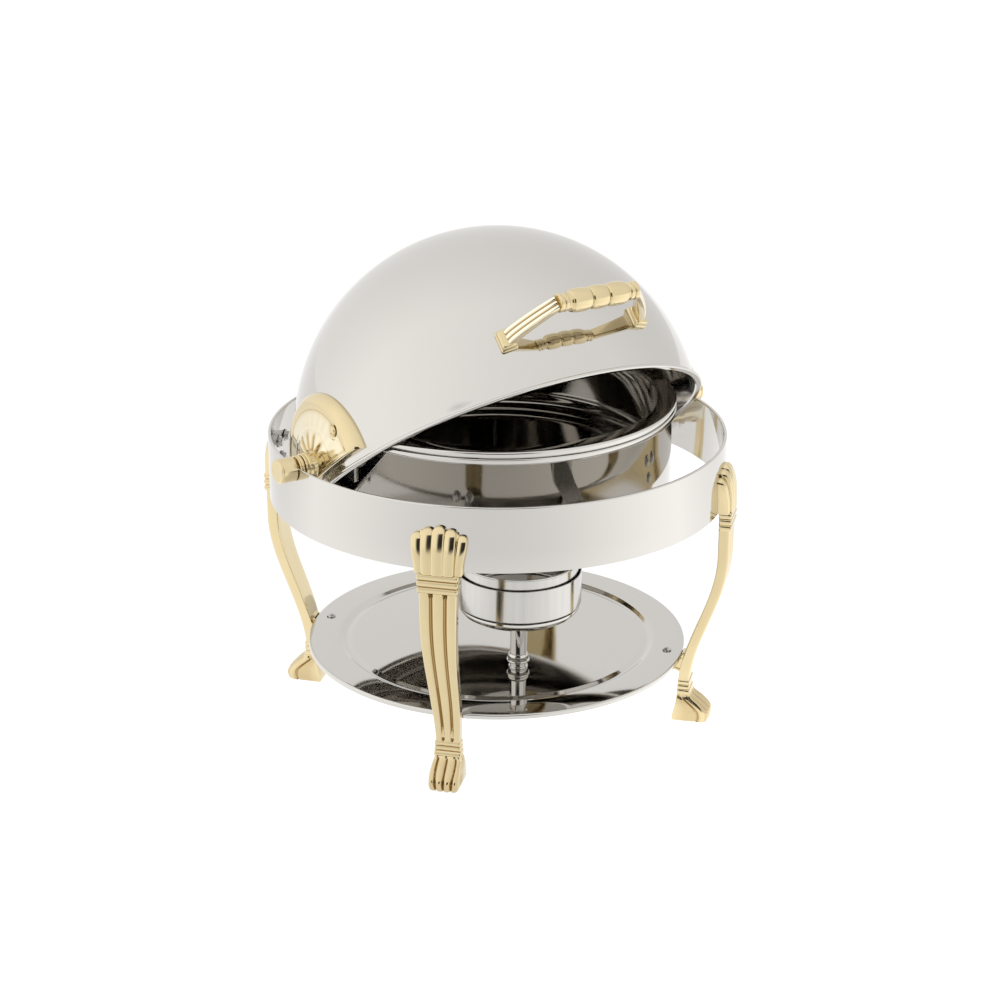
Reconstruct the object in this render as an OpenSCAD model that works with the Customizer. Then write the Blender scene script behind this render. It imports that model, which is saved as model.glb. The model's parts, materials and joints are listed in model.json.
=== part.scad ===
// Round roll top chafer. A sheet steel ring on four cast paw legs carries two
// pivots. A water pan hangs between them with a food pan resting in it, and a
// domed lid rolls back over the pans. A fuel holder stands on the base tray.
// The origin is on the table under the middle of the ring. +Z is up, X runs
// along the lid's pivot axis and the handle side faces -Y.

/* [Ring] */
// Outer radius of the frame ring
ring_r = 229; // [229:0.5:231]
// Height of the frame ring
ring_h = 65; // [62:0.5:66]
// Level of the ring's top edge above the table
ring_top = 297.5; // [297:0.5:299]

/* [Lid] */
// Outer radius of the domed lid
dome_r = 203; // [202:0.5:204]
// Height of the pivot axis above the table
pivot_z = 295; // [294:0.5:296]
// How far the lid's rim hangs below the pivot axis when closed
rim_drop = 26.8; // [25:0.1:28]
// Angle that the lid stands open at rest
lid_open = 38.2; // [0:0.1:80]

/* [Pans] */
// Outer radius of the water pan's wall
water_r = 174; // [172:0.5:175]
// Depth of the water pan from its rim to its underside
water_depth = 104; // [90:1:106]
// Depth of the food pan from its rim to its underside
food_depth = 68; // [50:1:72]

/* [Legs] */
// Angle of each leg from the X axis
leg_angle = 45; // [40:1:50]
// Radius of the ankle's outer face from the centre
ankle_r = 203; // [202:0.5:204]

/* [Base] */
// Outer radius of the base tray
tray_r = 193.7; // [193:0.1:194.5]
// Level of the base tray's top face
tray_z = 71.3; // [70:0.1:72]
// Sideways place of the fuel holder
burner_x = -22; // [-30:1:30]
// Fore and aft place of the fuel holder
burner_y = -77; // [-85:1:-77]

/* [Hidden] */
$fn = 180;
round_fn = 48;          // facets round a screw or a small turned piece
big = 600;              // longer than the whole object
cut = 1;                // how far a cutter runs past the face it cuts
gap = 0.3;              // air between pieces that move past each other
fit = 0.05;             // radial clearance of a running fit
steel = "lightgray";
brass = "khaki";
nylon = "white";

// ring
ring_t = 1.5;
ring_z = ring_top - ring_h;
hem_t = 3.2;
hem_h = 3;

// legs, in a frame where X points away from the centre
leg_t = 11.2;           // thickness of the curved shaft
leg_sweep = 36.9;       // how far the shaft sweeps out from the ankle to the ring
sweep_z0 = 33;          // level where the sweep starts
sweep_z1 = 187;         // level where the sweep ends
sweep_steps = 14;
leg_top = 281;
toe_r = 223.5;
heel_r = 187;
// half width of the leg at each level
leg_width = [[14.2, 0], [15.2, 4], [15.2, 16], [13.6, 28], [12, 44], [12.8, 62], [14.3, 87],
    [15.8, 127], [17.5, 172], [18.3, 210], [19.6, 233], [25, 263], [24, 274], [13, leg_top]];
// outer face of the paw from the sole up to the ankle
paw_front = [[toe_r, 0], [toe_r + 1.5, 6], [toe_r + 0.5, 11.5], [217, 18.5], [208, 25.5]];
collar_z = [214, 220.4, 226.8];
collar_h = 5.4;
collar_w = 19.8;        // half width of a collar ring
collar_rise = 1.6;
ankle_band_z = [30, 35, 40];
ankle_band_h = 4.4;
ankle_band_w = 12.8;
ankle_band_rise = 1.2;
finger_r = 5.2;
finger_z = 233;
finger_top = [269, 274, 276, 274, 269];
finger_y = [-18, -10.4, 0, 10.4, 18];   // sideways place of each finger's root
finger_lean = [5.5, 0.5, 0, -0.5, -5.5];
finger_back = [5, 2.6, 2, 2.6, 5];      // how far each axis is behind the collar's face
lug_w = 16;
lug_r = 172;
lug_z = 56;
pad_r1 = 189;
tray_screw_r = 178.4;

// fasteners
m5 = 2.5;
m5_hole = 2.7;
m6 = 3;
m6_hole = 3.2;
m4 = 2;
m4_hole = 2.2;
bolt_places = [[-10, 265], [10, 265], [0, 245]];    // sideways place and level
bolt_head_r = 4.8;
bolt_head_h = 3;
washer_r = 6.2;
washer_t = 1;
bolt_reach = 5.2;       // depth of the bolt inside the leg

// base tray
tray_t = 1.2;
recess_r = 157;
recess_d = 1.9;
tray_lip = 5;
tray_floor = tray_z - recess_d;
ramp = 4;

// fuel holder
post_r = 8.5;
post_top = 129;
post_collar_r = 11.5;
saucer_r = 56;
saucer_lip_r = 60.6;
saucer_top = 140.4;
holder_r = 62.2;
holder_z = 142;
holder_h = 34;
holder_floor = 3;
holder_t = 1.2;
cup_r = 59.6;
cup_t = 0.8;
cup_top = 188;
cup_lip_r = 60.8;
cup_z = holder_z + holder_floor + gap;
spacer_r = 9;

// lid
dome_t = 1.2;
lip_r = 207.3;
lip_h = 4;
lid_fan_r = 76;
fan_low = -9;           // level of the middle of the fan's arc below the pivot
fan_bevel = 14;         // width and depth of the rounded border
fan_bevel_h = 10.5;
fan_base = -15;         // level of the fan's straight edge below the pivot
fan_face_x = 209;       // how far the fan's middle stands from the centre
fan_face_r = 309;       // radius of the fan's gently domed face
fan_t = 3;
fan_steps = 8;
fan_in = 170;           // inside the dome, where the fan's sections start
hub_r = 13;
hub_end = 221;
fan_screw_y = 55;
fan_screw_z = 13;
fan_screw_x = 205.2;

// pivots
stud_r = 4;
bush_r = 8;
knob_r = 12;
knob_end = 247;
stud_in = 184;
stud_out = 243;
boss_end = 198;
boss_r = 12;
bush_flange_r = 12;
bush_flange_x = hub_end + 2 * gap;
bush_end = 227;
notch_r = 4.2;
notch_w = 8;

// pans
water_t = 1;
rim_r = 178;            // both pans' rolled rims are this wide
bead_w = 3.2;
flange_t = 1.4;
rim_h = 6;
water_top = 326;
water_corner = 28;
food_r = 160;
food_corner = 20;
food_t = 0.9;
food_rim_h = 6.7;
food_z = water_top + gap;
plate_t = 2.5;
plate_w = 44;
plate_z = [278, 312];
bracket_w = 30;
bracket_z = 251;
arc_steps = 10;

// handle, in a frame where -Y points out through the middle of the grip
handle_tilt = 8;
foot_angle = 20.8;
foot_w = 15;
foot_h = 20;
foot_flange = 1;
foot_top = 211;
grip_y = 248;
grip_half = 43;
grip_collar = 30.5;
grip_r = 11.3;
neck_r = 8.4;
arm_h = 16;
arm_root = [-1, 7];     // where the arm stands along the top of its foot
arm_tip = 5;
bead_ends = [-30.5, -9.2, 9.2, 30.5];
bead_steps = 8;

// points on an arc
function arc(x, y, r, a0, a1, n) =
    [for (i = [0:n]) let (a = a0 + (a1 - a0) * i / n) [x + r * cos(a), y + r * sin(a)]];
function backwards(list) = [for (i = [len(list) - 1:-1:0]) list[i]];
// outer face of the leg's shaft at level z
function shaft_r(z) =
    ankle_r + leg_sweep * (1 - cos(180 * (z - sweep_z0) / (sweep_z1 - sweep_z0))) / 2;
function sweep_level(i) = sweep_z0 + (sweep_z1 - sweep_z0) * i / sweep_steps;
// angle of each leg: front left, front right, rear left, rear right
leg_angles = [180 + leg_angle, -leg_angle, 180 - leg_angle, leg_angle];

module turned(points) rotate_extrude() polygon(points);
module along_x(r, x0, x1) translate([x0, 0, 0]) rotate([0, 90, 0]) cylinder(r = r, h = x1 - x0);
module tube(r_out, r_in, z0, z1) translate([0, 0, z0]) difference() {
    cylinder(r = r_out, h = z1 - z0);
    translate([0, 0, -cut]) cylinder(r = r_in, h = z1 - z0 + 2 * cut);
}
module block(low, high) translate(low) cube(high - low);
module at_lid() translate([0, 0, pivot_z]) rotate([-lid_open, 0, 0]) children();
module at_pivot(side) translate([0, 0, pivot_z]) mirror([side > 0 ? 0 : 1, 0, 0]) children();
module at_legs() for (a = leg_angles) rotate([0, 0, a]) children();
module at_burner() translate([burner_x, burner_y, 0]) children();
module at_bolts() for (p = bolt_places) translate([0, p[0], p[1]]) children();

module ring_band() {
    color(steel) difference() {
        union() {
            tube(ring_r, ring_r - ring_t, ring_z, ring_top - hem_h / 2);
            turned([[ring_r - hem_t, ring_top - hem_h], [ring_r, ring_top - hem_h],
                [ring_r, ring_top - cut], [ring_r - cut, ring_top],
                [ring_r - hem_t + cut, ring_top], [ring_r - hem_t, ring_top - cut]]);
        }
        for (side = [-1, 1]) at_pivot(side) {
            along_x(notch_r, ring_r - 20, ring_r + 20);
            block([ring_r - 20, -notch_w / 2, 0], [ring_r + 20, notch_w / 2, 20]);
        }
        for (side = [-1, 1]) at_pivot(side) along_x(knob_r + 1, ring_r - 20, ring_r - ring_t);
        at_legs() at_bolts() along_x(m5_hole, ring_r - 20, ring_r + 20);
    }
}

// side view of the leg: paw, swept shaft and the upright capital
module leg_side() {
    outer = concat(paw_front, [for (i = [0:sweep_steps]) [shaft_r(sweep_level(i)), sweep_level(i)]],
        [[ankle_r + leg_sweep + 1, 247], [ankle_r + leg_sweep, leg_top]]);
    inner = concat([[heel_r, 0], [heel_r + 3.5, 20]],
        [for (i = [0:sweep_steps]) [shaft_r(sweep_level(i)) - leg_t, sweep_level(i)]],
        [[ring_r - 1, leg_top]]);
    rotate([90, 0, 0]) linear_extrude(height = 2 * big, center = true)
        polygon(concat(outer, backwards(inner)));
}

module leg_front_view() {
    right = leg_width;
    left = [for (p = backwards(leg_width)) [-p[0], p[1]]];
    rotate([90, 0, 90]) linear_extrude(height = big) polygon(concat(right, left));
}

module leg() {
    collar_r = ankle_r + leg_sweep;
    color(brass) difference() {
        union() {
            intersection() {
                leg_side();
                leg_front_view();
            }
            for (z = collar_z) block([ring_r - 1, -collar_w, z],
                [collar_r + collar_rise, collar_w, z + collar_h]);
            for (z = ankle_band_z) block([ankle_r - leg_t - 0.7, -ankle_band_w, z],
                [ankle_r + ankle_band_rise, ankle_band_w, z + ankle_band_h]);
            for (i = [0:4]) translate([collar_r - finger_back[i], finger_y[i], finger_z])
                rotate([finger_lean[i], 0, 0])
                    cylinder(r = finger_r, h = finger_top[i] - finger_z, $fn = round_fn);
            block([lug_r, -lug_w / 2, lug_z], [shaft_r(lug_z + 6) - 3, lug_w / 2, tray_z - tray_lip]);
            block([lug_r, -lug_w / 2, lug_z + 4], [pad_r1, lug_w / 2, tray_z - tray_t]);
        }
        translate([0, 0, sweep_z1]) cylinder(r = ring_r + fit, h = big);
        at_bolts() along_x(m5 + fit, ring_r - 20, ring_r + bolt_reach + cut / 2, $fn = round_fn);
        translate([tray_screw_r, 0, 0]) cylinder(r = m5 + fit, h = big, $fn = round_fn);
    }
}
module leg_front_left() rotate([0, 0, leg_angles[0]]) leg();
module leg_front_right() rotate([0, 0, leg_angles[1]]) leg();
module leg_rear_left() rotate([0, 0, leg_angles[2]]) leg();
module leg_rear_right() rotate([0, 0, leg_angles[3]]) leg();

// the seat under a bolt head is flat, against the ring's curved inner face
seat_r = ring_r - ring_t - 0.7;
module leg_bolts() {
    color(steel) at_legs() at_bolts() {
        along_x(m5, seat_r - washer_t - bolt_head_h + cut, ring_r + bolt_reach, $fn = round_fn);
        along_x(bolt_head_r, seat_r - washer_t - bolt_head_h, seat_r - washer_t, $fn = 6);
    }
}
module leg_washers() {
    color(steel) at_legs() at_bolts() difference() {
        along_x(washer_r, seat_r - washer_t, seat_r, $fn = round_fn);
        along_x(m5_hole, seat_r - 2 * washer_t, seat_r + cut, $fn = round_fn);
    }
}

module base_tray() {
    color(steel) difference() {
        turned([[0, tray_floor - tray_t], [recess_r, tray_floor - tray_t],
            [recess_r + ramp, tray_z - tray_t], [tray_r - tray_t, tray_z - tray_t],
            [tray_r - tray_t, tray_z - tray_lip], [tray_r, tray_z - tray_lip],
            [tray_r, tray_z - tray_t / 2], [tray_r - tray_t / 2, tray_z],
            [recess_r + ramp - tray_t / 2, tray_z], [recess_r - tray_t / 2, tray_floor],
            [0, tray_floor]]);
        at_legs() translate([tray_screw_r, 0, 0]) cylinder(r = m5_hole, h = big, $fn = round_fn);
        at_burner() cylinder(r = m6_hole, h = big, $fn = round_fn);
    }
}
module tray_screws() {
    color(steel) at_legs() translate([tray_screw_r, 0, 0]) {
        translate([0, 0, lug_z + 2]) cylinder(r = m5, h = tray_z - lug_z - 1, $fn = round_fn);
        translate([0, 0, tray_z]) turned([[0, 0], [4.6, 0], [4.4, 1.2], [3.2, 2.3], [0, 2.8]]);
    }
}

module burner_post() {
    color(steel) at_burner() difference() {
        translate([0, 0, tray_floor]) cylinder(r = post_r, h = post_top - tray_floor);
        translate([0, 0, tray_floor - cut]) cylinder(r = m6 + fit, h = 17, $fn = round_fn);
        translate([0, 0, post_top - 16]) cylinder(r = m6 + fit, h = 17, $fn = round_fn);
    }
}
module post_collar() {
    color(steel) at_burner() tube(post_collar_r, post_r + fit, tray_floor + 6, tray_floor + 9.5);
}
module post_screw() {
    color(steel) at_burner() {
        translate([0, 0, tray_floor - tray_t - 4]) cylinder(r = 6.5, h = 4, $fn = 6);
        translate([0, 0, tray_floor - tray_t - 1]) cylinder(r = m6, h = 15, $fn = round_fn);
    }
}
module burner_saucer() {
    color(steel) at_burner() difference() {
        turned([[0, post_top], [saucer_r - 3, post_top], [saucer_r, post_top + 3],
            [saucer_lip_r, saucer_top - 2], [saucer_lip_r, saucer_top],
            [saucer_lip_r - holder_t, saucer_top], [saucer_r - holder_t, post_top + 3.6],
            [saucer_r - 3.6, post_top + holder_t], [0, post_top + holder_t]]);
        cylinder(r = m6_hole, h = big, $fn = round_fn);
    }
}
module holder_spacer() {
    color(steel) at_burner() tube(spacer_r, m6_hole, post_top + holder_t, holder_z);
}
module fuel_holder() {
    color(steel) at_burner() difference() {
        translate([0, 0, holder_z]) cylinder(r = holder_r, h = holder_h);
        translate([0, 0, holder_z + holder_floor]) cylinder(r = holder_r - holder_t, h = holder_h);
        cylinder(r = m6_hole, h = big, $fn = round_fn);
        translate([0, 0, holder_z + holder_floor - 2]) cylinder(r = 6.3, h = 4, $fn = round_fn);
    }
}
module holder_screw() {
    color(steel) at_burner() {
        translate([0, 0, holder_z + holder_floor - 2]) cylinder(r = 6, h = 1.8, $fn = round_fn);
        translate([0, 0, post_top - 13])
            cylinder(r = m6, h = holder_z + holder_floor - 1 - post_top + 13, $fn = round_fn);
    }
}
module fuel_cup() {
    color(steel) at_burner() turned([[0, cup_z], [cup_r - 3, cup_z], [cup_r, cup_z + 3],
        [cup_r, cup_top - 2], [cup_lip_r, cup_top - 1.6], [cup_lip_r, cup_top],
        [cup_r - cup_t, cup_top], [cup_r - cup_t, cup_z + 3.4], [cup_r - 3.4, cup_z + cup_t],
        [0, cup_z + cup_t]]);
}

module pivot_stud(side) at_pivot(side) color(steel) along_x(stud_r, stud_in, stud_out, $fn = round_fn);
module pivot_stud_left() pivot_stud(-1);
module pivot_stud_right() pivot_stud(1);

module pivot_bush(side) at_pivot(side) color(brass) difference() {
    union() {
        along_x(bush_r, boss_end, bush_end, $fn = 96);
        along_x(bush_flange_r, bush_flange_x, bush_end, $fn = 96);
    }
    along_x(stud_r + fit, boss_end - cut, bush_end + cut, $fn = round_fn);
}
module pivot_bush_left() pivot_bush(-1);
module pivot_bush_right() pivot_bush(1);

module pivot_washers() {
    color(nylon) for (side = [-1, 1]) at_pivot(side) difference() {
        along_x(14, boss_end, boss_end + 2.6, $fn = 96);
        along_x(bush_r + 0.1, boss_end - cut, boss_end + 2.6 + cut, $fn = 96);
    }
}

module pivot_knob(side) at_pivot(side) color(brass) difference() {
    union() {
        along_x(knob_r, ring_r + 0.4, knob_end - 1.2, $fn = 96);
        along_x(knob_r - 1, knob_end - 2, knob_end, $fn = 96);
    }
    along_x(stud_r + fit, ring_r - 5, stud_out + cut, $fn = round_fn);
}
module pivot_knob_left() pivot_knob(-1);
module pivot_knob_right() pivot_knob(1);

module pan_trunnion(side) color(steel) difference() {
    at_pivot(side) difference() {
        union() {
            intersection() {
                translate([0, 0, -pivot_z]) cylinder(r = water_r + plate_t, h = big);
                block([0, -plate_w / 2, plate_z[0] - pivot_z], [big, plate_w / 2, plate_z[1] - pivot_z]);
            }
            along_x(boss_r, water_r - 1, boss_end, $fn = 96);
        }
        along_x(stud_r + fit, stud_in - cut, big, $fn = round_fn);
    }
    cylinder(r = water_r + fit, h = big);
}
module pan_trunnion_left() pan_trunnion(-1);
module pan_trunnion_right() pan_trunnion(1);

// a bent strap from the ring's inner face to the front of the water pan
module pan_bracket() {
    wall = water_r + fit;
    reach = ring_r - ring_t - fit;
    color(steel) intersection() {
        union() {
            tube(wall + plate_t, wall, bracket_z, bracket_z + 20);
            tube(reach, wall, bracket_z, bracket_z + plate_t);
            tube(reach, reach - plate_t, bracket_z - 14, bracket_z + plate_t);
        }
        block([-bracket_w / 2, -big, 0], [bracket_w / 2, 0, big]);
    }
}

// half section of a straight-walled pan with a rounded corner and a rolled rim
function pan_half(r, corner, t, z0, z1, h) = concat(
    [[0, z0]], arc(r - corner, z0 + corner, corner, -90, 0, arc_steps),
    [[r, z1 - flange_t], [rim_r - bead_w, z1 - flange_t], [rim_r - bead_w, z1 - h],
        [rim_r - 1, z1 - h], [rim_r, z1 - h + 1], [rim_r, z1 - 1.5], [rim_r - 1.5, z1], [r - t, z1]],
    backwards(arc(r - corner, z0 + corner, corner - t, -90, 0, arc_steps)), [[0, z0 + t]]);

module water_pan() {
    color(steel) turned(pan_half(water_r, water_corner, water_t, water_top - water_depth,
        water_top, rim_h));
}
module food_pan() {
    color(steel) turned(pan_half(food_r, food_corner, food_t, food_z + food_rim_h - food_depth,
        food_z + food_rim_h, food_rim_h));
}

module lid_dome() {
    inner = dome_r - dome_t;
    lip_root = sqrt(dome_r * dome_r - rim_drop * rim_drop) - dome_t;
    color(steel) at_lid() difference() {
        union() {
            difference() {
                sphere(r = dome_r, $fn = 256);
                sphere(r = inner, $fn = 256);
                block([-big, -big, -big], [big, big, lip_h / 2 - rim_drop]);
            }
            turned([[lip_root, -rim_drop], [lip_r - 1, -rim_drop], [lip_r, 1 - rim_drop],
                [lip_r, lip_h - rim_drop - 1], [lip_r - 1, lip_h - rim_drop],
                [lip_root + dome_t / 2 + 0.3, lip_h - rim_drop]], $fn = 256);
        }
        for (side = [0, 1]) mirror([side, 0, 0]) {
            along_x(bush_r + 0.8, dome_r - 20, dome_r + 20, $fn = 96);
            at_fan_screws() along_x(m4_hole, dome_r - 40, dome_r + 20, $fn = round_fn);
        }
        rotate([-handle_tilt, 0, 0]) for (side = [-1, 1]) rotate([0, 0, side * foot_angle])
            rotate([90, 0, 0]) cylinder(r = m5_hole, h = big, $fn = round_fn);
    }
}

module at_fan_screws() for (y = [-1, 1]) translate([0, y * fan_screw_y, fan_screw_z]) children();

// half section of a fan about the middle of its arc, as [radius, distance from the middle]
fan_flat = lid_fan_r - fan_bevel;
function fan_face(r) = fan_face_x - fan_face_r + sqrt(fan_face_r * fan_face_r - r * r);
fan_section = concat([[0, fan_in]],
    [for (i = [0:fan_steps]) [fan_flat * i / fan_steps, fan_face(fan_flat * i / fan_steps)]],
    [for (i = [1:fan_steps]) let (a = 90 * i / fan_steps)
        [fan_flat + fan_bevel * sin(a), fan_face(fan_flat) - fan_bevel_h * (1 - cos(a))]],
    [[lid_fan_r, fan_in]]);
// the fan's outside, or its hollow when a wall is taken off
module fan_disc(wall) intersection() {
    translate([-wall, 0, fan_low]) rotate([0, 90, 0]) rotate_extrude($fn = 256)
        scale([1 - wall / lid_fan_r, 1]) polygon(fan_section);
    block([0, -big, fan_base + wall], [big, big, big]);
}
module lid_fan() color(brass) difference() {
    union() {
        difference() {
            fan_disc(0);
            fan_disc(fan_t);
        }
        along_x(hub_r, fan_in, hub_end);
        at_fan_screws() along_x(6, fan_in, fan_screw_x - 1.7, $fn = round_fn);
    }
    sphere(r = dome_r + 0.1, $fn = 256);
    along_x(bush_r + fit, fan_in, big);
    at_fan_screws() {
        along_x(m4_hole, dome_r - 40, big, $fn = round_fn);
        along_x(5.4, fan_screw_x - 1.7, big, $fn = round_fn);
    }
}
module lid_fan_left() at_lid() mirror([1, 0, 0]) lid_fan();
module lid_fan_right() at_lid() lid_fan();

fan_nut_x = sqrt(pow(dome_r - dome_t, 2) - pow(fan_screw_y + 6, 2) - pow(fan_screw_z, 2));
module fan_screws() {
    color(brass) at_lid() for (side = [0, 1]) mirror([side, 0, 0]) at_fan_screws() {
        along_x(m4, fan_nut_x - 5, fan_screw_x, $fn = round_fn);
        along_x(5, fan_screw_x - 1.6, fan_screw_x + 1.4, $fn = round_fn);
    }
}
module fan_nuts() {
    color(steel) at_lid() for (side = [0, 1]) mirror([side, 0, 0]) at_fan_screws() difference() {
        along_x(4, fan_nut_x - 3.4, fan_nut_x - 0.2, $fn = 6);
        along_x(m4 + fit, fan_nut_x - 5, fan_nut_x + cut, $fn = round_fn);
    }
}

module at_handle() at_lid() rotate([-handle_tilt, 0, 0]) children();
module handle_foot(side) at_handle() rotate([0, 0, side * foot_angle]) color(brass) difference() {
    union() {
        block([-foot_w / 2, -foot_top, -foot_h / 2], [foot_w / 2, 6 - dome_r, foot_h / 2]);
        block([-foot_w / 2 - foot_flange, -foot_top + 5, -foot_h / 2 - foot_flange],
            [foot_w / 2 + foot_flange, 8 - dome_r, foot_h / 2 + foot_flange]);
    }
    sphere(r = dome_r + 0.1, $fn = 256);
    translate([0, 3 - foot_top, 0]) rotate([-90, 0, 0]) cylinder(r = m5 + fit, h = 40, $fn = round_fn);
}
module handle_foot_left() handle_foot(-1);
module handle_foot_right() handle_foot(1);

// a point on the flat top of the foot on the +X side
function foot_point(s) =
    [foot_top * sin(foot_angle) - s * cos(foot_angle), -foot_top * cos(foot_angle) - s * sin(foot_angle)];
module handle_arm() color(brass) linear_extrude(height = arm_h, center = true)
    polygon([foot_point(arm_root[0]), foot_point(arm_root[1]), [grip_half, arm_tip - grip_y],
        [grip_half, -arm_tip - grip_y]]);
module handle_arm_left() at_handle() mirror([1, 0, 0]) handle_arm();
module handle_arm_right() at_handle() handle_arm();

// half section of the grip: a collar at each end and three oval beads between
function bead(x0, x1) = [for (i = [0:bead_steps]) let (a = 180 * i / bead_steps)
    [neck_r + (grip_r - neck_r) * pow(sin(a), 0.6), (x0 + x1) / 2 - (x1 - x0) / 2 * cos(a)]];
grip_half_section = concat([[0, -grip_half], [8.6, -grip_half], [8.6, -grip_collar - 2]],
    [for (i = [0:2]) each bead(bead_ends[i], bead_ends[i + 1])],
    [[8.6, grip_collar + 2], [8.6, grip_half], [0, grip_half]]);
module handle_grip() at_handle() color(brass) translate([0, -grip_y, 0]) rotate([0, 90, 0])
    rotate_extrude($fn = 96) polygon(grip_half_section);

module handle_screws() {
    color(steel) at_handle() for (side = [-1, 1]) rotate([0, 0, side * foot_angle])
        rotate([90, 0, 0]) {
            translate([0, 0, dome_r - dome_t - 3.4]) cylinder(r = 4.8, h = 3, $fn = 6);
            translate([0, 0, dome_r - dome_t - 2])
                cylinder(r = m5, h = foot_top - dome_r - 0.4, $fn = round_fn);
        }
}

ring_band();
leg_front_left();
leg_front_right();
leg_rear_left();
leg_rear_right();
leg_bolts();
leg_washers();
base_tray();
tray_screws();
burner_post();
post_collar();
post_screw();
burner_saucer();
holder_spacer();
fuel_holder();
holder_screw();
fuel_cup();
pivot_stud_left();
pivot_stud_right();
pivot_bush_left();
pivot_bush_right();
pivot_washers();
pivot_knob_left();
pivot_knob_right();
pan_trunnion_left();
pan_trunnion_right();
pan_bracket();
water_pan();
food_pan();
lid_dome();
lid_fan_left();
lid_fan_right();
fan_screws();
fan_nuts();
handle_foot_left();
handle_foot_right();
handle_arm_left();
handle_arm_right();
handle_grip();
handle_screws();
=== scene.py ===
import json
import math

import bmesh
import bpy
import numpy as np
from mathutils import Matrix, Vector
from mathutils.kdtree import KDTree


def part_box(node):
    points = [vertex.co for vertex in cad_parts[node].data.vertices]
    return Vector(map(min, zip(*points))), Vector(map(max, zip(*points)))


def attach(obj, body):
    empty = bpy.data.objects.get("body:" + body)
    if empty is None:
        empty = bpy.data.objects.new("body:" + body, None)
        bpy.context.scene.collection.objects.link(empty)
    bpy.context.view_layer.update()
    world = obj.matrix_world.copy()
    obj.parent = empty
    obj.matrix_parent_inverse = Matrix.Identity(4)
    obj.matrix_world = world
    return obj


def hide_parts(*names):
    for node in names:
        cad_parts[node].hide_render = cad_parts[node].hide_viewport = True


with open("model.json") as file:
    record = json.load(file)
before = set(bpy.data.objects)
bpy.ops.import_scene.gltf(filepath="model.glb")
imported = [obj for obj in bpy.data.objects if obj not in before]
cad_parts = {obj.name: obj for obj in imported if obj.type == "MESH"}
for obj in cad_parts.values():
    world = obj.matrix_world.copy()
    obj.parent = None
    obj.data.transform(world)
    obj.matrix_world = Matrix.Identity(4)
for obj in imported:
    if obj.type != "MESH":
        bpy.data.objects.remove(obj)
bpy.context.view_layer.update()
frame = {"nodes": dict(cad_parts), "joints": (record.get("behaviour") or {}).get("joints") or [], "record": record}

# Roll top chafer. Lengths here are millimetres in the CAD frame: +Z up, X along the
# lid's pivot axis, the handle side at -Y. raw_object() turns them into metres.
MM = 0.001
STEEL, SATIN, BRASS, NYLON = "polished_steel", "satin_steel", "polished_brass", "nylon"


# -------- the frame's sizes
def low(node):
    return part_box(node)[0] / MM


def high(node):
    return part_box(node)[1] / MM


def shift(x, y, z):
    return Matrix.Translation((x, y, z))


def rotate(degrees, axis):
    return Matrix.Rotation(math.radians(degrees), 4, axis)


lid_joint = next(j for j in frame["joints"] if j["name"] == "lid_roll")
PIVOT_Z = lid_joint["pos_m"][2] / MM
LID_OPEN = -lid_joint["range_deg"][0]
RING_R = high("ring_band").x
RING_TOP = high("ring_band").z
RING_LOW = low("ring_band").z
RING_T = 1.5
DOME_R = high("lid_dome").z - PIVOT_Z
DOME_T = 1.2
RIM_DROP = 26.8
LIP_R = high("lid_dome").x
LIP_H = 4
WATER_TOP = high("water_pan").z
WATER_LOW = low("water_pan").z
RIM_R = high("water_pan").x
WATER_R = 174
FOOD_TOP = high("food_pan").z
FOOD_LOW = low("food_pan").z
FOOD_R = 160
TRAY_R = high("base_tray").x
TRAY_TOP = high("base_tray").z
TRAY_FLOOR = TRAY_TOP - 1.9
RECESS_R = 157
BURNER = (low("fuel_cup") + high("fuel_cup")) / 2
POST_TOP = high("burner_post").z
HOLDER_R = (high("fuel_holder").x - low("fuel_holder").x) / 2
HOLDER_LOW = low("fuel_holder").z
HOLDER_TOP = high("fuel_holder").z
CUP_LOW = low("fuel_cup").z
CUP_TOP = high("fuel_cup").z
KNOB_END = high("pivot_knob_right").x
KNOB_START = low("pivot_knob_right").x
KNOB_R = (high("pivot_knob_right").y - low("pivot_knob_right").y) / 2

LEGS = {"leg_front_left": 225, "leg_front_right": -45, "leg_rear_left": 135, "leg_rear_right": 45}
SIDES = ((-1, "left"), (1, "right"))
MIRROR = Matrix.Scale(-1, 4, (1, 0, 0))
FACING = {1: Matrix.Identity(4), -1: MIRROR}
at_lid = shift(0, 0, PIVOT_Z) @ rotate(-LID_OPEN, "X")
at_pivot = {side: shift(0, 0, PIVOT_Z) @ FACING[side] for side in FACING}
at_burner = shift(BURNER.x, BURNER.y, 0)


# -------- curves and mesh helpers
def smooth(a, b, x):
    """Rises smoothly from 0 at a to 1 at b."""
    x = np.clip((np.asarray(x, float) - a) / (b - a), 0, 1)
    return x * x * (3 - 2 * x)


def curve(points, x):
    """A smooth curve through (x, y) points, with no overshoot."""
    xs, ys = np.array(points, float).T
    slope = np.diff(ys) / np.diff(xs)
    tangent = np.zeros(len(xs))
    for i in range(1, len(xs) - 1):
        if slope[i - 1] * slope[i] > 0:
            tangent[i] = 2 * slope[i - 1] * slope[i] / (slope[i - 1] + slope[i])
    tangent[0], tangent[-1] = slope[0], slope[-1]
    i = np.clip(np.searchsorted(xs, x) - 1, 0, len(xs) - 2)
    h = xs[i + 1] - xs[i]
    t = np.clip((x - xs[i]) / h, 0, 1)
    return (ys[i] * (1 + 2 * t) * (1 - t) ** 2 + tangent[i] * h * t * (1 - t) ** 2
            + ys[i + 1] * t * t * (3 - 2 * t) + tangent[i + 1] * h * t * t * (t - 1))


def arc(x, y, r, a0, a1, n):
    """Points on an arc, angles in degrees."""
    return [(x + r * math.cos(math.radians(a)), y + r * math.sin(math.radians(a)))
            for a in np.linspace(a0, a1, n)]


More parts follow.
